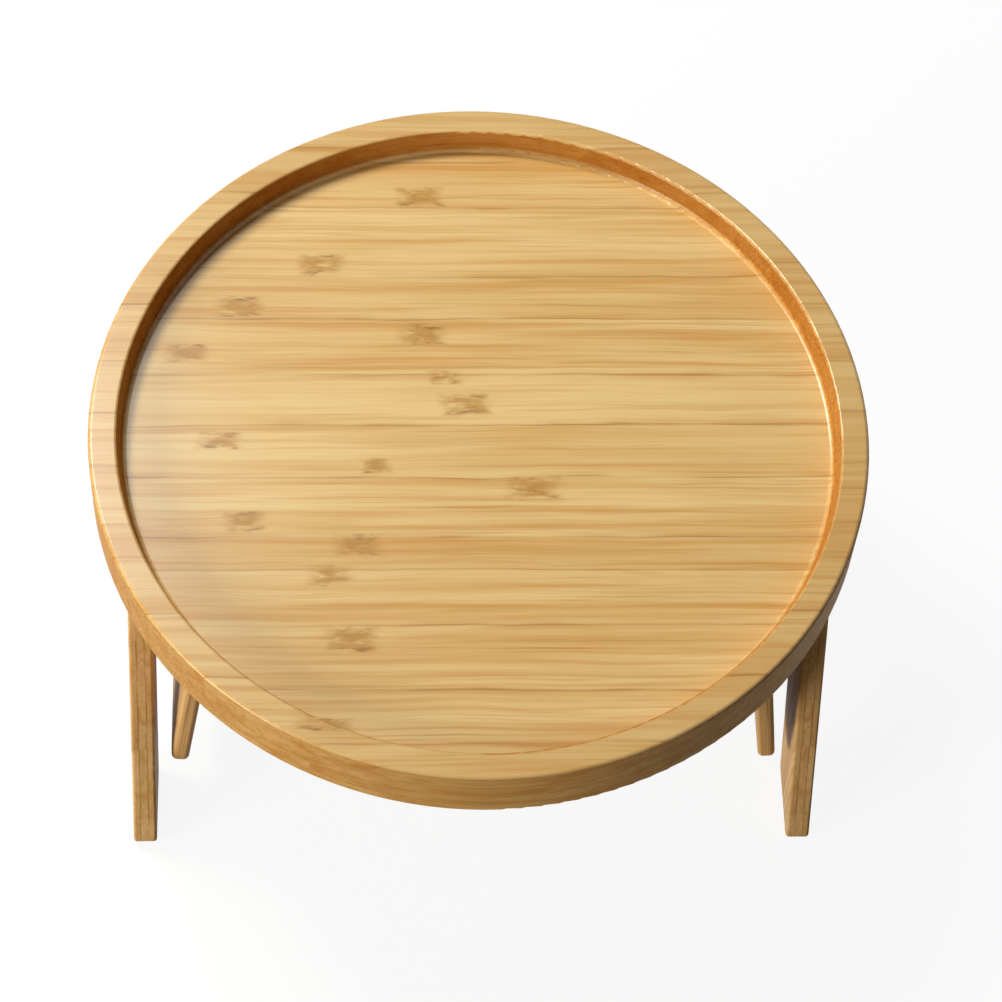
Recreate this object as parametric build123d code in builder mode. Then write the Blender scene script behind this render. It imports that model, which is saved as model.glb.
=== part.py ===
from build123d import *
from math import ceil, cos, pi, radians, sin, sqrt, tan
import os

# Sofa arm tray: a round tray on two splayed side frames, with two hinged boards that hang
# beside the arm of a sofa. Millimetres. X runs across the arm, Y along it with the front at
# -Y, and Z up from the feet. Right-hand pieces are drawn and mirrored for the left.

# Whole object
overall_height = 150.0
tray_diameter = 300.0

# Tray, turned and milled from one laminated slab
tray_thickness = 28.0
recess_depth = 10.3
rim_width = 10.9
wall_draft = 1.6
rim_outer_round = 1.6
rim_inner_round = 1.2
base_round = 3.0
floor_round = 2.0

# Side frames: one board each, cut out into two legs under a top rail
frame_splay = 0.9
frame_thickness = 9.2
frame_inset = 15.0
frame_reference_height = 125.0
frame_top_half_width = 56.6
frame_foot_half_width = 108.5
arch_height = 78.0
arch_top_half_width = 40.3
arch_foot_half_width = 73.5
arch_round = 14.0
foot_round = 3.5
frame_edge_round = 1.2

# Cleats that hold the frames under the tray
cleat_width = 11.0
cleat_height = 12.0
cleat_length = 98.0
cleat_bevel = 3.0
cleat_end_bevel = 1.5

# Hinged boards and their grip pads
flap_lean = 7.1
flap_thickness = 6.9
flap_half_width = 86.0
flap_reach = 89.0
flap_top_gap = 0.35
flap_corner_round = 6.0
flap_edge_round = 2.2
pad_thickness = 2.0
pad_half_width = 60.0
pad_top_drop = 31.0
pad_foot_drop = 80.0
pad_corner_round = 6.0
pad_edge_round = 0.6

# Friction hinges: two leaves, a pin and a coil wound round the pin
hinge_inset = 49.8
hinge_spacing = 100.0
pin_radius = 1.25
pin_running_gap = 0.05
pin_head_radius = 2.0
pin_head_length = 0.9
pin_head_bevel = 0.4
wire_radius = 0.45
coil_gap = 0.08
coil_pitch = 1.45
coil_turns = 4
coil_arm_length = 11.5
wire_seat_gap = 0.05
leaf_thickness = 1.1
leaf_width = 24.0
leaf_half_length = 20.0
leaf_corner_round = 2.5
knuckle_wood_gap = 0.4
knuckle_side_gap = 0.3
coil_bay_half_length = 4.0
moving_knuckle_length = 8.0
lug_width = 2.8
lug_wall = 0.6
lug_start_drop = 6.2
lug_length = 2.6
lug_clearance = 0.1

# Countersunk screws, threads left out
screw_radius = 1.5
screw_head_radius = 2.6
screw_gap = 0.05
leaf_screw_length = 7.0
cleat_screw_length = 18.0
recess_length = 2.6
recess_slot = 0.6
recess_slot_depth = 0.8
leaf_screw_near_drop = 12.5
leaf_screw_far_drop = 18.5
leaf_screw_offset = 14.0
cleat_screw_up_offset = 36.0
cleat_screw_in_offset = 18.0
cleat_screw_in_drop = 5.5

# Sizes that follow from the ones above
overrun = tray_thickness
tray_radius = tray_diameter / 2
frame_outer_x = tray_radius - frame_inset
hinge_x = tray_radius - hinge_inset
tray_base = overall_height - tray_thickness
tray_floor = overall_height - recess_depth
coil_radius = pin_radius + coil_gap + wire_radius
leaf_front = coil_radius + wire_radius + wire_seat_gap
leaf_back = leaf_front + leaf_thickness
knuckle_radius = leaf_back - knuckle_wood_gap
knuckle_bore = pin_radius + pin_running_gap
leaf_notch = knuckle_radius + knuckle_wood_gap
moving_knuckle_end = coil_bay_half_length + moving_knuckle_length
fixed_knuckle_start = moving_knuckle_end + knuckle_side_gap
hinge_z = tray_base - leaf_back
screw_head_height = screw_head_radius - screw_radius
lean = radians(flap_lean)
flap_back = leaf_back + flap_thickness
flap_top = (leaf_back - flap_top_gap - flap_back * sin(lean)) / cos(lean)


# Directions and planes of the two kinds of board
def board_plane(x, z, angle):
    """Plane of a leaning board: local X along the arm, local Y up the board, Z outwards."""
    tilt = radians(angle)
    return Plane(origin=(x, 0, z), x_dir=(0, 1, 0), z_dir=(cos(tilt), 0, sin(tilt)))


def flap_profile_plane(y):
    """Section across the hinge line: local X from the pin to the board, local Y up it."""
    return Plane(origin=(hinge_x, y, hinge_z), x_dir=(cos(lean), 0, sin(lean)), z_dir=(0, -1, 0))


def tray_profile_plane(y):
    """Section across the hinge line: local X from the pin to the tray, local Y outwards."""
    return Plane(origin=(hinge_x, y, hinge_z), x_dir=(0, 0, 1), z_dir=(0, 1, 0))


def frame_inside_x(z):
    """X of a frame's inner face at a height."""
    outside = frame_outer_x + (frame_reference_height - z) * tan(radians(frame_splay))
    return outside - frame_thickness / cos(radians(frame_splay))


def nearest_corner(sketch, x, y):
    """Corner of a profile that lies at a given place."""
    return sketch.vertices().sort_by_distance(Vector(x, y, 0))[0]


def leaf_screw_spots(profile, front):
    """Head centres and head directions of one leaf's three screws."""
    outward = profile.x_dir * -1
    along = Vector(0, 1, 0)
    rows = [(leaf_screw_near_drop, -leaf_screw_offset), (leaf_screw_near_drop, leaf_screw_offset)]
    rows.append((leaf_screw_far_drop, 0))
    places = []
    for drop, offset in rows:
        place = profile.origin + profile.x_dir * front - profile.y_dir * drop + along * offset
        places.append((place, outward))
    return places


def head_plane(place, outward):
    """Plane of a screw's head, facing out of it."""
    return Plane(origin=place, x_dir=(0, 1, 0), z_dir=outward)


def drill(spots, depth, grown):
    """Cut pilot holes, deeper and wider than the screws by the screw gap."""
    for place, outward in spots:
        with BuildSketch(head_plane(place, outward)) as bore:
            Circle(screw_radius + grown)
        extrude(bore.sketch, amount=-depth, mode=Mode.SUBTRACT)


def countersink(spots):
    """Cut a conical seat for each screw head."""
    for place, outward in spots:
        with BuildSketch(head_plane(place, outward)) as mouth:
            Circle(screw_head_radius + screw_gap)
        with BuildSketch(head_plane(place - outward * screw_head_height, outward)) as throat:
            Circle(screw_radius + screw_gap)
        loft([mouth.sketch, throat.sketch], mode=Mode.SUBTRACT)


# Places of all the screws on the right-hand side
hinge_rows = [-hinge_spacing / 2, hinge_spacing / 2]
tray_leaf_spots = []
flap_leaf_spots = []
for hinge_y in hinge_rows:
    tray_leaf_spots += leaf_screw_spots(tray_profile_plane(hinge_y), leaf_front)
    flap_leaf_spots += leaf_screw_spots(flap_profile_plane(hinge_y), leaf_front)

cleat_inner_x = frame_inside_x(tray_base) - cleat_width
cleat_foot = tray_base - cleat_height
cleat_screw_x = (frame_inside_x(cleat_foot) + cleat_inner_x + cleat_bevel) / 2
cleat_up_spots = []
cleat_in_spots = []
for turn in (-1, 1):
    up_place = Vector(cleat_screw_x, turn * cleat_screw_up_offset, cleat_foot)
    in_place = Vector(cleat_inner_x, turn * cleat_screw_in_offset, tray_base - cleat_screw_in_drop)
    cleat_up_spots.append((up_place, Vector(0, 0, -1)))
    cleat_in_spots.append((in_place, Vector(-1, 0, 0)))

os.makedirs("parts", exist_ok=True)


def store(piece, name):
    """Label one piece and write it."""
    piece.label = name
    export_step(piece, f"parts/{name}.step")


def store_pair(piece, name):
    """Write a right-hand piece and its mirror image."""
    store(piece, f"right_{name}")
    with BuildPart() as other:
        mirror(piece, about=Plane.YZ)
    store(other.part, f"left_{name}")


def mirrored_spots(spots):
    """The same screw places on the left-hand side."""
    flipped = []
    for place, outward in spots:
        flip = Vector(-place.X, place.Y, place.Z)
        flipped.append((flip, Vector(-outward.X, outward.Y, outward.Z)))
    return flipped


# Tray: the slab's section turned about the middle, with drilled holes under it
with BuildPart() as tray:
    with BuildSketch(Plane.XZ) as tray_section:
        with BuildLine():
            Polyline(
                (0, tray_base),
                (tray_radius, tray_base),
                (tray_radius, overall_height),
                (tray_radius - rim_width, overall_height),
                (tray_radius - rim_width - wall_draft, tray_floor),
                (0, tray_floor),
                close=True,
            )
        make_face()
        fillet(nearest_corner(tray_section, tray_radius, tray_base), base_round)
        fillet(nearest_corner(tray_section, tray_radius, overall_height), rim_outer_round)
        fillet(nearest_corner(tray_section, tray_radius - rim_width, overall_height), rim_inner_round)
        fillet(nearest_corner(tray_section, tray_radius - rim_width - wall_draft, tray_floor), floor_round)
    revolve(axis=Axis.Z)
    drill(tray_leaf_spots + mirrored_spots(tray_leaf_spots), leaf_screw_length + screw_gap, screw_gap)
    drill(cleat_up_spots + mirrored_spots(cleat_up_spots), cleat_screw_length + screw_gap, screw_gap)
store(tray.part, "tray")


# Side frame: a leaning board with an arch cut out, level at its top and its feet
frame_mid_x = frame_outer_x - frame_thickness / 2 / cos(radians(frame_splay))
frame_plane = board_plane(frame_mid_x, frame_reference_height, frame_splay)
frame_slope = cos(radians(frame_splay))
frame_flare = (frame_foot_half_width - frame_top_half_width) / tray_base
arch_flare = (arch_foot_half_width - arch_top_half_width) / arch_height


def up_board(z):
    """Distance up the frame's plane of a height."""
    return (z - frame_reference_height) / frame_slope


with BuildPart() as side_frame:
    with BuildSketch(frame_plane):
        with BuildLine():
            Polyline(
                (-frame_foot_half_width - frame_flare * overrun, up_board(-overrun)),
                (frame_foot_half_width + frame_flare * overrun, up_board(-overrun)),
                (frame_top_half_width - frame_flare * overrun, up_board(tray_base + overrun)),
                (-frame_top_half_width + frame_flare * overrun, up_board(tray_base + overrun)),
                close=True,
            )
        make_face()
    extrude(amount=frame_thickness / 2, both=True)
    with BuildSketch(frame_plane) as arch:
        with BuildLine():
            Polyline(
                (-arch_foot_half_width - arch_flare * overrun, up_board(-overrun)),
                (arch_foot_half_width + arch_flare * overrun, up_board(-overrun)),
                (arch_top_half_width, up_board(arch_height)),
                (-arch_top_half_width, up_board(arch_height)),
                close=True,
            )
        make_face()
        fillet(nearest_corner(arch, arch_top_half_width, up_board(arch_height)), arch_round)
        fillet(nearest_corner(arch, -arch_top_half_width, up_board(arch_height)), arch_round)
    extrude(amount=frame_thickness, both=True, mode=Mode.SUBTRACT)
    split(bisect_by=Plane.XY.offset(tray_base), keep=Keep.BOTTOM)
    split(bisect_by=Plane.XY, keep=Keep.TOP)
    foot_ends = side_frame.edges().group_by(Axis.Z)[0].filter_by(Axis.Y, reverse=True)
    fillet(foot_ends, foot_round)
    big_faces = side_frame.faces().sort_by(SortBy.AREA)[-2:]
    arrises = big_faces[0].edges() + big_faces[1].edges()
    arrises = arrises.filter_by(lambda edge: edge.center().Z < tray_base - frame_edge_round / 2)
    fillet(arrises, frame_edge_round)
    drill(cleat_in_spots, cleat_screw_length + screw_gap, screw_gap)
store_pair(side_frame.part, "side_frame")


# Cleat: a bevelled strip in the corner between a frame and the tray
with BuildPart() as cleat:
    with BuildSketch(Plane.XZ):
        with BuildLine():
            Polyline(
                (frame_inside_x(tray_base), tray_base),
                (cleat_inner_x, tray_base),
                (cleat_inner_x, cleat_foot + cleat_bevel),
                (cleat_inner_x + cleat_bevel, cleat_foot),
                (frame_inside_x(cleat_foot), cleat_foot),
                close=True,
            )
        make_face()
    extrude(amount=cleat_length / 2, both=True)
    ends = cleat.faces().sort_by(Axis.Y)
    rim = ends[0].edges() + ends[-1].edges()
    rim = rim.filter_by(lambda edge: edge.center().X < cleat_screw_x and edge.center().Z < tray_base)
    chamfer(rim, cleat_end_bevel)
    drill(cleat_up_spots + cleat_in_spots, cleat_screw_length + screw_gap, screw_gap)
    countersink(cleat_up_spots + cleat_in_spots)
store_pair(cleat.part, "cleat")


# Hinged board: a flat board with a rounded foot and pilot holes for its two hinges
flap_plane = flap_profile_plane(0)
flap_normal = flap_plane.x_dir
flap_board = Plane(origin=flap_plane.origin + flap_normal * leaf_back, x_dir=(0, 1, 0), z_dir=flap_normal)

with BuildPart() as flap:
    with BuildSketch(flap_board) as flap_outline:
        with BuildLine():
            Polyline(
                (-flap_half_width, flap_top),
                (-flap_half_width, -flap_reach),
                (flap_half_width, -flap_reach),
                (flap_half_width, flap_top),
                close=True,
            )
        make_face()
        fillet(nearest_corner(flap_outline, flap_half_width, -flap_reach), flap_corner_round)
        fillet(nearest_corner(flap_outline, -flap_half_width, -flap_reach), flap_corner_round)
    extrude(amount=flap_thickness)
    broad = flap.faces().sort_by(SortBy.AREA)[-2:]
    outline_edges = broad[0].edges() + broad[1].edges()
    low_edges = outline_edges.filter_by(lambda edge: edge.center().Z < hinge_z - flap_edge_round)
    fillet(low_edges, flap_edge_round)
    drill(flap_leaf_spots, leaf_screw_length + screw_gap, screw_gap)
store_pair(flap.part, "flap")


# Grip pad: a soft sheet stuck to the face that meets the sofa
with BuildPart() as flap_pad:
    with BuildSketch(flap_board):
        with Locations((0, -(pad_top_drop + pad_foot_drop) / 2)):
            RectangleRounded(2 * pad_half_width, pad_foot_drop - pad_top_drop, pad_corner_round)
    extrude(amount=-pad_thickness)
    free_face = flap_pad.faces().sort_by(Axis(flap_plane.origin, flap_normal))[0]
    fillet(free_face.edges(), pad_edge_round)
store_pair(flap_pad.part, "flap_pad")


# Hinge leaf: a plate with two knuckles, the fixed one's outside and the moving one's inside
def leaf(profile, knuckle_from, knuckle_to):
    """One leaf in the section plane it belongs to."""
    with BuildPart() as piece:
        with BuildSketch(profile):
            with Locations(((leaf_front + leaf_back) / 2, -(leaf_notch + leaf_width) / 2)):
                Rectangle(leaf_thickness, leaf_width - leaf_notch)
        extrude(amount=leaf_half_length, both=True)
        for way in (-1, 1):
            start = profile.offset(way * knuckle_from)
            with BuildSketch(start):
                Circle(knuckle_radius)
                with Locations(((leaf_front + leaf_back) / 2, -leaf_notch / 2 - leaf_thickness / 2)):
                    Rectangle(leaf_thickness, leaf_notch + leaf_thickness)
            extrude(amount=way * (knuckle_to - knuckle_from))
        with BuildSketch(profile):
            Circle(knuckle_bore)
        extrude(amount=leaf_half_length, both=True, mode=Mode.SUBTRACT)
        far_face = piece.faces().sort_by(Axis(profile.origin, profile.y_dir))[0]
        fillet(far_face.edges().filter_by(Axis.Y, reverse=True), leaf_corner_round)
        spots = leaf_screw_spots(profile, leaf_front)
        drill(spots, leaf_screw_length, screw_gap)
        countersink(spots)
    return piece.part


# Screws: a countersunk head on a plain shank
def screws(spots, length):
    """A group of separate screws."""
    with BuildPart() as group:
        for place, outward in spots:
            side = Vector(0, 1, 0)
            section = Plane(origin=place, x_dir=side, z_dir=side.cross(outward))
            with BuildSketch(section):
                with BuildLine():
                    Polyline(
                        (0, 0),
                        (screw_head_radius, 0),
                        (screw_radius, -screw_head_height),
                        (screw_radius, -length),
                        (0, -length),
                        close=True,
                    )
                make_face()
            revolve(axis=Axis(place, outward))
            with BuildSketch(head_plane(place, outward)):
                Rectangle(recess_length, recess_slot)
                Rectangle(recess_slot, recess_length)
            extrude(amount=-recess_slot_depth, mode=Mode.SUBTRACT)
    return group.part


# Friction coil: one wire wound round the pin, its arm held by a lug on the moving leaf
arm_y = coil_turns * coil_pitch / 2


def coil_points():
    """Places and directions along the coil, four to a turn, in the leaf's section."""
    climb = sqrt(coil_radius ** 2 + (coil_pitch / (2 * pi)) ** 2)
    marks = []
    last = 4 * coil_turns
    for quarter in range(last + 1):
        angle = -quarter * pi / 2
        place = (coil_radius * cos(angle), coil_radius * sin(angle), arm_y - quarter * coil_pitch / 4)
        rise = 0 if quarter in (0, last) else -coil_pitch / (2 * pi) / climb
        around = 1 if quarter in (0, last) else coil_radius / climb
        marks.append((place, (around * sin(angle), -around * cos(angle), rise)))
    return marks


def coil(profile):
    """One coil on a hinge whose section plane is given."""
    def world(triple):
        return profile.x_dir * triple[0] + profile.y_dir * triple[1] + profile.z_dir * triple[2]

    marks = [(profile.origin + world(place), world(way)) for place, way in coil_points()]
    first, heading = marks[0]
    tail = first - heading * 2 * wire_radius
    end, parting = marks[-1]
    with BuildPart() as piece:
        with BuildLine() as route:
            Line(tail, first)
            for (here, way), (there, next_way) in zip(marks[:-1], marks[1:]):
                chord = there - here
                both = way + next_way
                spread = 1 - way.dot(next_way)
                reach = sqrt(chord.dot(both) ** 2 + 2 * spread * chord.dot(chord)) - chord.dot(both)
                reach /= 2 * spread
                joint = (here + there + (way - next_way) * reach) / 2
                middle_way = (chord - both * reach).normalized()
                TangentArc(here, joint, tangent=way)
                TangentArc(joint, there, tangent=middle_way)
            Line(end, end + parting * coil_arm_length)
        with BuildSketch(Plane(origin=tail, z_dir=heading)):
            Circle(wire_radius)
        sweep(path=route.wires()[0])
    return piece.part, route.wires()[0]


def least_gap(route):
    """Least distance between the surfaces of turns that lie next to each other."""
    count = 80 * coil_turns
    points = [route.position_at(index / count) for index in range(count + 1)]
    skip = ceil(pi * coil_radius / (route.length / count))
    gaps = []
    for index, point in enumerate(points):
        for other in points[index + skip:]:
            gaps.append((point - other).length)
    return min(gaps) - 2 * wire_radius


# Pin: a plain shaft with a bevelled head at each end
def pin(profile):
    """One pin, heads outside the knuckles."""
    with BuildPart() as piece:
        with BuildSketch(profile):
            Circle(pin_radius)
        extrude(amount=leaf_half_length + knuckle_side_gap, both=True)
        for way in (-1, 1):
            with BuildSketch(profile.offset(way * (leaf_half_length + knuckle_side_gap))):
                Circle(pin_head_radius)
            extrude(amount=way * pin_head_length)
        ends = piece.faces().sort_by(Axis.Y)
        chamfer(ends[0].edges() + ends[-1].edges(), pin_head_bevel)
    return piece.part


def moving_leaf(profile):
    """The leaf on the hinged board, with a bridge over the coil's arm."""
    plain = leaf(profile, coil_bay_half_length, moving_knuckle_end)
    lug_height = wire_seat_gap + 2 * wire_radius + lug_clearance + lug_wall
    lug_middle = -lug_start_drop - lug_length / 2
    with BuildPart() as piece:
        add(plain)
        with BuildSketch(profile.offset(-arm_y - lug_width / 2)):
            with Locations((leaf_front - lug_height / 2, lug_middle)):
                Rectangle(lug_height, lug_length)
        extrude(amount=lug_width)
        tunnel_width = 2 * wire_radius + 2 * lug_clearance
        tunnel_height = lug_height - lug_wall
        with BuildSketch(profile.offset(-arm_y - tunnel_width / 2)):
            with Locations((leaf_front - tunnel_height / 2, lug_middle)):
                Rectangle(tunnel_height, 2 * lug_length)
        extrude(amount=tunnel_width, mode=Mode.SUBTRACT)
    return piece.part


# The four hinges and their screws
for end_name, hinge_y in (("front", hinge_rows[0]), ("back", hinge_rows[1])):
    flap_section = flap_profile_plane(hinge_y)
    tray_section_plane = tray_profile_plane(hinge_y)
    store_pair(leaf(tray_section_plane, fixed_knuckle_start, leaf_half_length), f"{end_name}_tray_leaf")
    store_pair(moving_leaf(flap_section), f"{end_name}_flap_leaf")
    store_pair(pin(tray_section_plane), f"{end_name}_pin")
    friction_coil, coil_route = coil(flap_section)
    store_pair(friction_coil, f"{end_name}_coil")
    print(f"{end_name} coil least gap {least_gap(coil_route):.3f} mm")

store_pair(screws(tray_leaf_spots, leaf_screw_length), "tray_leaf_screws")
store_pair(screws(flap_leaf_spots, leaf_screw_length), "flap_leaf_screws")
store_pair(screws(cleat_up_spots + cleat_in_spots, cleat_screw_length), "cleat_screws")
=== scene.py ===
import bpy
from math import radians, tan
from mathutils import Matrix, Vector

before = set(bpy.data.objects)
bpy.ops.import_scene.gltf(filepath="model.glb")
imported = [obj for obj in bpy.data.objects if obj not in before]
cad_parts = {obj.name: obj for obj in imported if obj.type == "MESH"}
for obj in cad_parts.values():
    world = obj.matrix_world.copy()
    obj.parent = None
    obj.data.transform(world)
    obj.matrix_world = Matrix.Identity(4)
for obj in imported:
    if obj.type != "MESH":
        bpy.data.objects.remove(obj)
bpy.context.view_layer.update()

# Camera: a long lens held above and a little left of the front, tipped slightly to one side,
# as in the photograph. It looks down at about sixty degrees.
camera_place = (-0.0587, -0.6773, 1.2651)
camera_heading = -5.83
camera_tilt = 30.13
camera_roll = 4.93
camera_lens = 122.2

camera_data = bpy.data.cameras.new("camera")
camera_data.lens = camera_lens
camera_data.sensor_width = 36.0
camera_data.clip_end = 20.0
camera = bpy.data.objects.new("camera", camera_data)
bpy.context.scene.collection.objects.link(camera)
turn = Matrix.Rotation(radians(camera_heading), 4, "Z")
tip = Matrix.Rotation(radians(camera_tilt), 4, "X")
cant = Matrix.Rotation(radians(camera_roll), 4, "Z")
camera.matrix_world = Matrix.Translation(camera_place) @ turn @ tip @ cant
bpy.context.scene.camera = camera

# Tray: a round slab of laminated bamboo. Strips about 22 mm wide run from side to side, so
# the recess, its wall and the rim all cut through the same strips. Clear satin lacquer.


def from_hex(text):
    """An sRGB hex colour as the linear colour that a shader takes."""
    linear = []
    for start in (0, 2, 4):
        share = int(text[start:start + 2], 16) / 255
        linear.append(share / 12.92 if share <= 0.04045 else ((share + 0.055) / 1.055) ** 2.4)
    return (*linear, 1.0)


def add_node(material, kind, feeds=None, **settings):
    """A node with its settings, and with each socket fed by a value or another node's socket."""
    made = material.node_tree.nodes.new(kind)
    for name, value in settings.items():
        setattr(made, name, value)
    for name, value in (feeds or {}).items():
        if isinstance(value, bpy.types.NodeSocket):
            material.node_tree.links.new(value, made.inputs[name])
        else:
            made.inputs[name].default_value = value
    return made


def new_material(name):
    """An empty node material with its shader, and the shader's node."""
    material = bpy.data.materials.new(name)
    material.use_nodes = True
    material.node_tree.nodes.clear()
    shader = add_node(material, "ShaderNodeBsdfPrincipled")
    add_node(material, "ShaderNodeOutputMaterial", {"Surface": shader.outputs["BSDF"]})
    return material, shader


def laminated_bamboo(name, axes, lean, plies, joints, tones, knuckles, hues, gloss):
    """Bamboo strips glued side by side, planed, sanded and finished.

    The axes say where the fibres run, where the strips lie side by side and where the board is
    thin. The lean is how far the board leans out for each metre down. The plies are the glue
    lines seen on its edges, as distances out from the middle of the object. The joints are the
    glue lines seen on its faces, the tones say how pale each strip is, and the knuckles are
    the culm's nodes: a place along, a place across and a half length. All are in metres. The
    gloss is the weight of the clear coat on the faces, near none where the bamboo is oiled.
    """
    material, shader = new_material(name)
    fibre_stray = 0.0036
    knuckle_curl = 0.004
    glue_line = 0.0009
    ply_line = 0.0005
    skin_width = 0.005
    strip_shift = 17.3
    ply_shift = 7.9

    def maths(operation, first, second=0.0, third=0.0):
        feeds = {0: first, 1: second, 2: third}
        return add_node(material, "ShaderNodeMath", feeds, operation=operation).outputs[0]

    def ranged(value, low, high, to_low=0.0, to_high=1.0, kind="SMOOTHSTEP"):
        feeds = {"Value": value, "From Min": low, "From Max": high}
        feeds.update({"To Min": to_low, "To Max": to_high})
        return add_node(material, "ShaderNodeMapRange", feeds, interpolation_type=kind).outputs[0]

    def noise(length_mm, width_mm, detail=2.0, shift=0.0):
        """Noise drawn out along the fibres to a length and a width in millimetres."""
        feeds = {
            "X": maths("MULTIPLY_ADD", run, 1000 / length_mm, shift),
            "Y": maths("MULTIPLY", side, 1000 / width_mm),
            "Z": maths("MULTIPLY", depth, 1000 / width_mm),
        }
        drawn = add_node(material, "ShaderNodeCombineXYZ", feeds).outputs[0]
        feeds = {"Vector": drawn, "Scale": 1.0, "Detail": detail, "Roughness": 0.55}
        return add_node(material, "ShaderNodeTexNoise", feeds).outputs[0]

    def blend(share, under, over, kind="MIX"):
        feeds = {0: share, 6: under, 7: over}
        mixed = add_node(material, "ShaderNodeMix", feeds, data_type="RGBA", blend_type=kind)
        return mixed.outputs[2]

    def strayed(value, stray, reach):
        """A coordinate pushed to and fro by a noise, at most half the reach each way."""
        return maths("MULTIPLY_ADD", maths("SUBTRACT", stray, 0.5), reach, value)

    coordinates = add_node(material, "ShaderNodeTexCoord").outputs
    places = add_node(material, "ShaderNodeSeparateXYZ", {0: coordinates["Object"]}).outputs
    facing = add_node(material, "ShaderNodeSeparateXYZ", {0: coordinates["Normal"]}).outputs
    run, side = places[axes[0]], places[axes[1]]
    depth = maths("MULTIPLY_ADD", places[2], lean, maths("ABSOLUTE", places[axes[2]]))

    # Knuckles: blocky smudges with broken dark edges, where a culm's node was planed through.
    # Ahead counts in half lengths and beside in quarter lengths, so a smudge is half as wide as
    # it is long.
    blot = noise(7.5, 2.2, 2.0)
    blot_run = strayed(run, noise(7.0, 3.5), 0.008)
    blot_side = strayed(side, noise(9.0, 3.0), 0.0035)
    smudge = 0.0
    edge = 0.0
    for knuckle_run, knuckle_side, half_length in knuckles:
        ahead = maths("ABSOLUTE", maths("SUBTRACT", blot_run, knuckle_run))
        ahead = maths("MULTIPLY", ahead, 1 / half_length)
        beside = maths("ABSOLUTE", maths("SUBTRACT", blot_side, knuckle_side))
        beside = maths("MULTIPLY", beside, 2 / half_length)
        inside = ranged(maths("MAXIMUM", ahead, beside), 0.3, 1.3, 1.0, 0.0)
        border = ranged(maths("ABSOLUTE", maths("SUBTRACT", beside, 0.85)), 0.0, 0.35, 1.0, 0.0)
        border = maths("MULTIPLY", border, ranged(ahead, 0.5, 1.1, 1.0, 0.0))
        smudge = maths("MAXIMUM", smudge, inside)
        edge = maths("MAXIMUM", edge, border)

    # Fibres aren't dead straight: they stray by a millimetre or so, and curl round a knuckle.
    side = strayed(side, noise(70.0, 22.0), fibre_stray)
    curl = maths("MULTIPLY", smudge, knuckle_curl)
    side = maths("MULTIPLY_ADD", maths("SUBTRACT", blot, 0.5), curl, side)

    # Which strip and which ply: each strip has its own tone, and both have their own fibres,
    # from a shift along the culm.
    strip = 0.0
    shade = tones[0]
    gap = 1.0
    for joint, before, after in zip(joints, tones[:-1], tones[1:]):
        past = maths("GREATER_THAN", side, joint)
        strip = maths("ADD", past, strip)
        shade = maths("MULTIPLY_ADD", past, after - before, shade)
        gap = maths("MINIMUM", gap, maths("ABSOLUTE", maths("SUBTRACT", side, joint)))
    layer = 0.0
    ply_gap = 1.0
    for ply in plies:
        layer = maths("ADD", maths("GREATER_THAN", depth, ply), layer)
        ply_gap = maths("MINIMUM", ply_gap, maths("ABSOLUTE", maths("SUBTRACT", depth, ply)))
    own_shift = maths("MULTIPLY_ADD", layer, ply_shift, maths("MULTIPLY", strip, strip_shift))

    # Grain, from broad tones over the strip down to fibres under half a millimetre wide.
    broad = noise(160, 9, 2.0, own_shift)
    bands = noise(190, 3.4, 2.0, own_shift)
    fibres = noise(80, 1.3, 3.0, own_shift)
    fine = noise(26, 0.45, 2.0, own_shift)

    colour = blend(ranged(broad, 0.35, 0.65), hues["pale"], hues["middle"])
    colour = blend(ranged(bands, 0.5, 0.68, 0.0, 0.5), colour, hues["grain"])
    colour = blend(ranged(bands, 0.5, 0.36, 0.0, 0.4), colour, hues["pale"])
    colour = blend(ranged(fibres, 0.5, 0.72, 0.0, 0.5), colour, hues["grain"])
    colour = blend(ranged(fibres, 0.66, 0.8, 0.0, 0.5), colour, hues["dark"])
    colour = blend(ranged(fine, 0.4, 0.75, 0.0, 0.22), colour, hues["grain"])
    colour = blend(ranged(shade, -1.0, 0.0, 0.55, 0.0, "LINEAR"), colour, hues["grain"])
    colour = blend(ranged(shade, 0.0, 1.0, 0.0, 0.6, "LINEAR"), colour, hues["pale"])

    # Cut edges soak up the lacquer and stay matt. Their darker, redder tint is partly that stain
    # and partly painted shade, standing for the shade on the sides. Ends of the fibres show as
    # small dark dots under a millimetre wide.
    on_edge = ranged(maths("ABSOLUTE", facing[axes[2]]), 0.35, 0.8, 1.0, 0.0)
    on_end = ranged(maths("ABSOLUTE", facing[axes[0]]), 0.5, 0.9)
    colour = blend(maths("MULTIPLY", on_end, 0.25), colour, hues["middle"])
    colour = blend(on_edge, colour, hues["cut"], "MULTIPLY")
    dots = maths("MULTIPLY", ranged(noise(4.0, 0.8, 1.0), 0.5, 0.62, 0.0, 0.5), on_end)
    colour = blend(dots, colour, hues["mark"])

    # The rim's flat top is handled most and is browner than the floor below it.
    if "rim" in hues:
        shoulder, top = 0.1484, 0.1497
        colour = blend(ranged(places[2], shoulder, top, 0.0, 0.3), colour, hues["rim"])

    # The recess's wall, which faces the middle, is milled. A darker, warmer tint multiplied in all
    # round it is painted shade, standing for the shade in the recess.
    if "wall" in hues:
        outward = maths("MULTIPLY", places[1], facing[1])
        outward = maths("MULTIPLY_ADD", places[0], facing[0], outward)
        round_start, wall_start = -0.04, -0.11
        wall_shade_mask = ranged(outward, round_start, wall_start)
        colour = blend(wall_shade_mask, colour, hues["wall"], "MULTIPLY")

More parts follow.
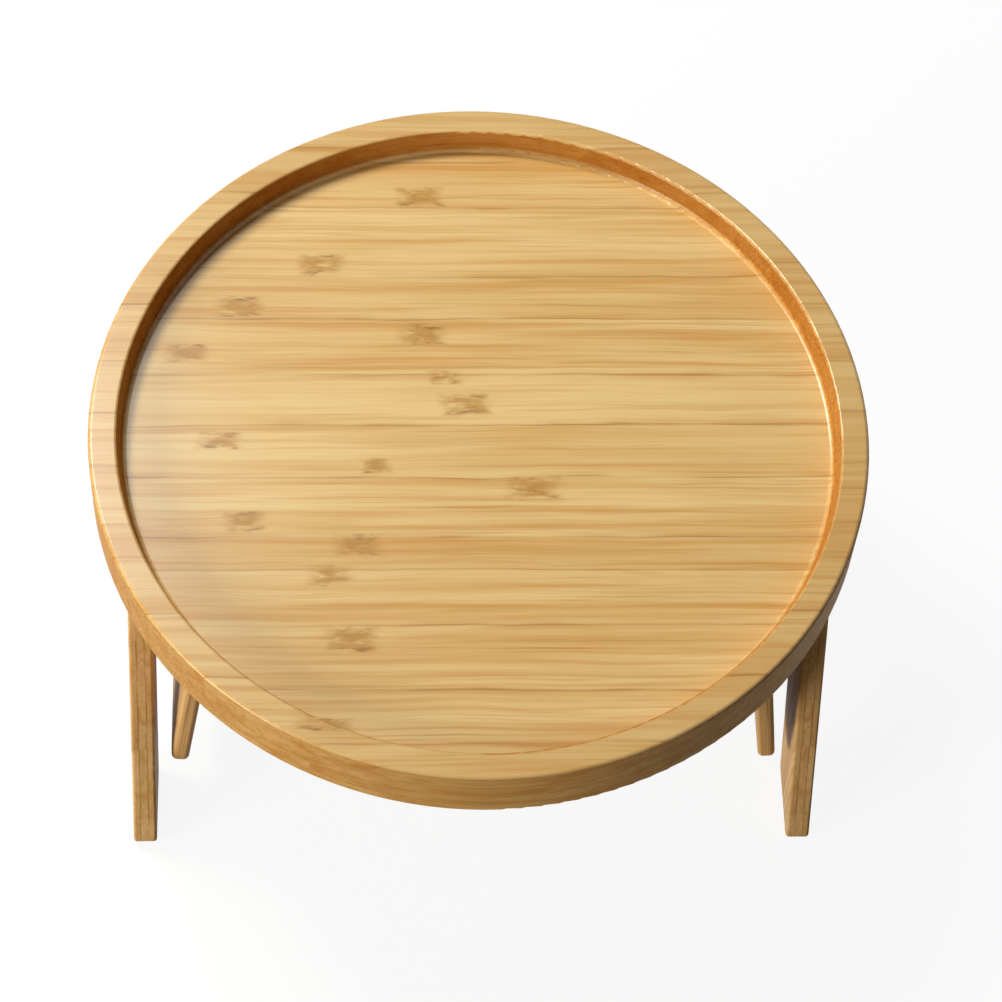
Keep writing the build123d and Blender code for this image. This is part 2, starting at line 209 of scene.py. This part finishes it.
    # Glue lines: a dark hairline that comes and goes between strips, except on the strips' own
    # sides, and one between the plies where an edge shows them. The strips' harder skin darkens
    # the few millimetres beside it.
    on_side = ranged(maths("ABSOLUTE", facing[axes[1]]), 0.45, 0.8)
    face_line = ranged(gap, 0.0, glue_line, 1.0, 0.0)
    face_line = maths("MULTIPLY", face_line, maths("SUBTRACT", 1.0, on_side))
    edge_line = maths("MULTIPLY", ranged(ply_gap, 0.0001, ply_line, 1.0, 0.0), on_edge)
    comes = ranged(noise(60, 9, 2.0, own_shift), 0.42, 0.66, 0.12, 0.65)
    line = maths("MULTIPLY", maths("MAXIMUM", face_line, edge_line), comes)
    skin = ranged(gap, 0.0, skin_width, 1.0, 0.0)
    skin = maths("MULTIPLY", skin, maths("MULTIPLY", comes, comes))
    colour = blend(skin, colour, hues["grain"])
    colour = blend(line, colour, hues["glue"])

    # The knuckles' colours: a brown smudge, darker broken edges and a few pale flecks.
    stain = maths("MULTIPLY", smudge, ranged(blot, 0.3, 0.6, 0.35, 0.95))
    colour = blend(stain, colour, hues["knuckle"])
    mark = maths("MULTIPLY", edge, ranged(blot, 0.46, 0.68, 0.0, 0.75))
    colour = blend(mark, colour, hues["mark"])
    fleck = maths("MULTIPLY", smudge, ranged(blot, 0.38, 0.28, 0.0, 0.6))
    colour = blend(fleck, colour, hues["pale"])

    relief = maths("MULTIPLY_ADD", fine, 0.3, maths("MULTIPLY", fibres, 0.5))
    relief = maths("SUBTRACT", relief, maths("MULTIPLY", maths("ADD", line, mark), 0.15))
    feeds = {"Height": relief, "Strength": 0.25, "Distance": 0.0002}
    bump = add_node(material, "ShaderNodeBump", feeds)
    rough = ranged(fibres, 0.3, 0.7, 0.42, 0.52, "LINEAR")

    links = material.node_tree.links
    links.new(colour, shader.inputs["Base Color"])
    links.new(rough, shader.inputs["Roughness"])
    links.new(bump.outputs[0], shader.inputs["Normal"])
    links.new(ranged(on_edge, 0.0, 1.0, gloss, 0.0, "LINEAR"), shader.inputs["Coat Weight"])
    shader.inputs["IOR"].default_value = 1.45
    shader.inputs["Specular IOR Level"].default_value = 0.03
    shader.inputs["Coat Roughness"].default_value = 0.24
    shader.inputs["Coat IOR"].default_value = 1.5
    return material


satin_coat = 0.7
tray_plies = (0.1288, 0.1352, 0.1428)
tray_joints = (
    -0.135, -0.1084, -0.0811, -0.0576, -0.0433, -0.0169,
    0.0065, 0.0294, 0.0555, 0.0754, 0.1087, 0.131,
)
tray_tones = (0.0, 0.1, 0.1, -0.1, -0.5, 0.0, 0.3, 0.6, 0.0, -0.3, 0.2, -0.4, 0.0)
tray_knuckles = (
    (-0.021, 0.114, 0.009),
    (-0.061, 0.081, 0.009),
    (-0.093, 0.061, 0.009),
    (-0.113, 0.039, 0.008),
    (-0.021, 0.048, 0.009),
    (-0.013, 0.028, 0.006),
    (-0.005, 0.016, 0.009),
    (-0.100, 0.000, 0.008),
    (-0.040, -0.012, 0.006),
    (0.020, -0.022, 0.010),
    (-0.090, -0.036, 0.008),
    (-0.047, -0.047, 0.009),
    (-0.058, -0.060, 0.008),
    (-0.050, -0.087, 0.010),
    (-0.060, -0.125, 0.010),
)
tray_hues = {
    "pale": from_hex("EAC987"),
    "middle": from_hex("DCB069"),
    "grain": from_hex("C68C38"),
    "dark": from_hex("A86E28"),
    "glue": from_hex("94601E"),
    "knuckle": from_hex("B98535"),
    "mark": from_hex("8E5A1C"),
    # The cut tint is partly the lacquer's stain and partly painted shade on the sides.
    "cut": from_hex("E6D3BE"),
    "rim": from_hex("BE8D4C"),
    # Painted shade: the wall tint darkens the recess's wall as the rim's shade would.
    "wall": from_hex("EBD2AE"),
}
tray_bamboo = laminated_bamboo(
    "laminated bamboo slab", (0, 1, 2), 0.0, tray_plies,
    tray_joints, tray_tones, tray_knuckles, tray_hues, satin_coat,
)
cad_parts["tray"].data.materials[0] = tray_bamboo

# Side frames and hinged boards: bamboo board 9.2 mm and 6.9 mm thick, pressed from three
# plies, with the strips standing upright, sawn to shape, edges eased and oiled. Matt, and a
# shade browner than the tray. The frames lean out by 0.9 degrees, the boards by 7.1 at rest.
oiled_coat = 0.02
frame_lean = tan(radians(0.9))
frame_plies = (0.1308, 0.1340)
flap_lean = tan(radians(7.1))
flap_plies = (0.1204, 0.1228)
board_joints = (-0.088, -0.066, -0.043, -0.021, 0.002, 0.024, 0.047, 0.068, 0.091)
board_tones = (0.1, -0.4, 0.3, -0.1, 0.5, -0.3, 0.2, -0.5, 0.1, 0.2)
board_knuckles = (
    (0.052, -0.078, 0.008),
    (0.101, -0.032, 0.009),
    (0.064, 0.035, 0.008),
    (0.095, 0.079, 0.009),
)
board_hues = {
    "pale": from_hex("E4BE86"),
    "middle": from_hex("D4A96C"),
    "grain": from_hex("BC8B4E"),
    "dark": from_hex("946630"),
    "glue": from_hex("7E5224"),
    "knuckle": from_hex("A0713A"),
    "mark": from_hex("7A4E22"),
    "cut": from_hex("FFF6EC"),
}
frame_bamboo = laminated_bamboo(
    "laminated bamboo board", (2, 1, 0), frame_lean, frame_plies,
    board_joints, board_tones, board_knuckles, board_hues, oiled_coat,
)
flap_bamboo = laminated_bamboo(
    "laminated bamboo thin board", (2, 1, 0), flap_lean, flap_plies,
    board_joints, board_tones, board_knuckles, board_hues, oiled_coat,
)
for side_name in ("left", "right"):
    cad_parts[f"{side_name}_side_frame"].data.materials[0] = frame_bamboo
    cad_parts[f"{side_name}_flap"].data.materials[0] = flap_bamboo

# Cleats: bevelled strips 11 by 12 mm and 98 mm long, of the same bamboo, glued and screwed in
# the corner between a side frame and the tray. Their fibres run along them.
cleat_joints = (0.1175,)
cleat_tones = (0.2, -0.3)
cleat_knuckles = ((0.012, 0.115, 0.008),)
cleat_bamboo = laminated_bamboo(
    "laminated bamboo strip", (1, 2, 0), 0.0, (),
    cleat_joints, cleat_tones, cleat_knuckles, board_hues, oiled_coat,
)
for side_name in ("left", "right"):
    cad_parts[f"{side_name}_cleat"].data.materials[0] = cleat_bamboo

# Hinge leaves, pins and screws: mild steel, zinc plated after stamping. The plating is a
# bright grey with a faint cloudy grain, duller where it has been handled.


def plated_steel(name, hue, dull_hue, grain_mm, roughness):
    """Plated or drawn steel with a cloudy finish."""
    material, shader = new_material(name)
    place = add_node(material, "ShaderNodeTexCoord").outputs["Object"]
    feeds = {"Vector": place, "Scale": 1000 / grain_mm, "Detail": 3.0, "Roughness": 0.6}
    cloud = add_node(material, "ShaderNodeTexNoise", feeds).outputs[0]
    feeds = {0: cloud, 6: hue, 7: dull_hue}
    colour = add_node(material, "ShaderNodeMix", feeds, data_type="RGBA").outputs[2]
    feeds = {"Value": cloud, "From Min": 0.3, "From Max": 0.7}
    feeds.update({"To Min": roughness - 0.07, "To Max": roughness + 0.1})
    rough = add_node(material, "ShaderNodeMapRange", feeds).outputs[0]
    feeds = {"Height": cloud, "Strength": 0.15, "Distance": 0.0001}
    bump = add_node(material, "ShaderNodeBump", feeds).outputs[0]
    links = material.node_tree.links
    links.new(colour, shader.inputs["Base Color"])
    links.new(rough, shader.inputs["Roughness"])
    links.new(bump, shader.inputs["Normal"])
    shader.inputs["Metallic"].default_value = 1.0
    return material


zinc_steel = plated_steel("zinc-plated steel", from_hex("C4C6C4"), from_hex("A6A9AA"), 1.6, 0.32)
pin_steel = plated_steel("bright drawn steel", from_hex("B4B4B2"), from_hex("9C9C9A"), 0.9, 0.25)
wire_steel = plated_steel("oiled spring wire", from_hex("6E6C68"), from_hex("55524E"), 0.7, 0.3)
for side_name in ("left", "right"):
    for screw_name in ("tray_leaf_screws", "flap_leaf_screws", "cleat_screws"):
        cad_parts[f"{side_name}_{screw_name}"].data.materials[0] = zinc_steel
    for end_name in ("front", "back"):
        hinge_name = f"{side_name}_{end_name}"
        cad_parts[f"{hinge_name}_tray_leaf"].data.materials[0] = zinc_steel
        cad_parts[f"{hinge_name}_flap_leaf"].data.materials[0] = zinc_steel
        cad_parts[f"{hinge_name}_pin"].data.materials[0] = pin_steel
        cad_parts[f"{hinge_name}_coil"].data.materials[0] = wire_steel

# Grip pads: black closed-cell foam rubber, cut from sheet and stuck to the hinged boards. The
# skin is matt with fine open cells about a third of a millimetre wide.
foam_rubber, foam_shader = new_material("closed-cell foam rubber")
foam_place = add_node(foam_rubber, "ShaderNodeTexCoord").outputs["Object"]
foam_cells = add_node(foam_rubber, "ShaderNodeTexVoronoi", {"Vector": foam_place, "Scale": 2600.0})
foam_feeds = {0: foam_cells.outputs["Distance"], 6: from_hex("2A2A2B"), 7: from_hex("1C1C1D")}
foam_colour = add_node(foam_rubber, "ShaderNodeMix", foam_feeds, data_type="RGBA").outputs[2]
foam_feeds = {"Height": foam_cells.outputs["Distance"], "Strength": 0.5, "Distance": 0.0002}
foam_bump = add_node(foam_rubber, "ShaderNodeBump", foam_feeds).outputs[0]
foam_rubber.node_tree.links.new(foam_colour, foam_shader.inputs["Base Color"])
foam_rubber.node_tree.links.new(foam_bump, foam_shader.inputs["Normal"])
foam_shader.inputs["Roughness"].default_value = 0.85
foam_shader.inputs["IOR"].default_value = 1.52
for side_name in ("left", "right"):
    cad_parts[f"{side_name}_flap_pad"].data.materials[0] = foam_rubber

# Floor: a plain pale studio sheet, 12 m square. Seen by the camera, mirrored or through
# something clear it is white, and it keeps the object's shadow. Its light on the object is
# the grey paper's own.


def shown_rays(material):
    """1 for a ray from the camera, a mirror or a clear thing, and 0 for light on the object."""
    rays = add_node(material, "ShaderNodeLightPath").outputs
    shown = rays["Is Camera Ray"]
    for ray_kind in ("Is Glossy Ray", "Is Transmission Ray"):
        feeds = {0: shown, 1: rays[ray_kind]}
        shown = add_node(material, "ShaderNodeMath", feeds, operation="MAXIMUM").outputs[0]
    return shown


white = (1.0, 1.0, 1.0, 1.0)
white_share = 0.72
white_strength = 1.25
floor_half = 6.0
floor_mesh = bpy.data.meshes.new("floor")
floor_corners = [(-floor_half, -floor_half, 0), (floor_half, -floor_half, 0)]
floor_corners += [(floor_half, floor_half, 0), (-floor_half, floor_half, 0)]
floor_mesh.from_pydata(floor_corners, [], [(0, 1, 2, 3)])
floor = bpy.data.objects.new("floor", floor_mesh)
bpy.context.scene.collection.objects.link(floor)
floor_paper, paper_shader = new_material("white paper")
paper_shader.inputs["Base Color"].default_value = from_hex("A8A7A5")
paper_shader.inputs["Roughness"].default_value = 0.9
paper_shader.inputs["Specular IOR Level"].default_value = 0.1
feeds = {0: shown_rays(floor_paper), 1: white_share}
paper_share = add_node(floor_paper, "ShaderNodeMath", feeds, operation="MULTIPLY").outputs[0]
feeds = {"Color": white, "Strength": white_strength}
paper_white = add_node(floor_paper, "ShaderNodeEmission", feeds).outputs[0]
feeds = {0: paper_share, 1: paper_shader.outputs[0], 2: paper_white}
paper_mix = add_node(floor_paper, "ShaderNodeMixShader", feeds)
paper_out = [item for item in floor_paper.node_tree.nodes if item.type == "OUTPUT_MATERIAL"][0]
floor_paper.node_tree.links.new(paper_mix.outputs[0], paper_out.inputs["Surface"])
floor_mesh.materials.append(floor_paper)

# Light: one window-like lamp high on the left and behind, which throws the rim's 8 mm shadow
# on the tray floor, a smaller and bluer one whose glare lies on the left of the rim, a low
# wide one at the left front, and a dim surround. The right-hand sides stay dark, as in the
# photograph.


lamp_target = Vector((0, 0, 0.1))


def add_lamp(name, place, size, power, hue):
    """A square soft lamp aimed just under the tray's floor."""
    lamp_data = bpy.data.lights.new(name, "AREA")
    lamp_data.size = size
    lamp_data.energy = power
    lamp_data.color = hue
    lamp = bpy.data.objects.new(name, lamp_data)
    bpy.context.scene.collection.objects.link(lamp)
    lamp.location = place
    lamp.rotation_euler = (lamp_target - Vector(place)).to_track_quat("-Z", "Y").to_euler()


add_lamp("window lamp", (-0.95, 0.95, 1.75), size=0.5, power=30.5, hue=(1.0, 0.97, 0.92))
add_lamp("glare lamp", (-0.45, 0.98, 1.85), size=0.3, power=10.0, hue=(0.84, 0.92, 1.0))
add_lamp("left lamp", (-1.6, -0.95, 0.6), size=0.8, power=30.0, hue=(1.0, 0.98, 0.94))

surround = bpy.data.worlds.new("surround")
surround.use_nodes = True
bpy.context.scene.world = surround
surround.node_tree.nodes.clear()
feeds = {"Color": (1.0, 0.98, 0.96, 1.0), "Strength": 0.05}
surround_light = add_node(surround, "ShaderNodeBackground", feeds).outputs[0]
feeds = {"Color": white, "Strength": 1.0}
surround_white = add_node(surround, "ShaderNodeBackground", feeds).outputs[0]
feeds = {0: shown_rays(surround), 1: surround_light, 2: surround_white}
surround_mix = add_node(surround, "ShaderNodeMixShader", feeds).outputs[0]
add_node(surround, "ShaderNodeOutputWorld", {"Surface": surround_mix})
bpy.context.scene.view_settings.view_transform = "Standard"
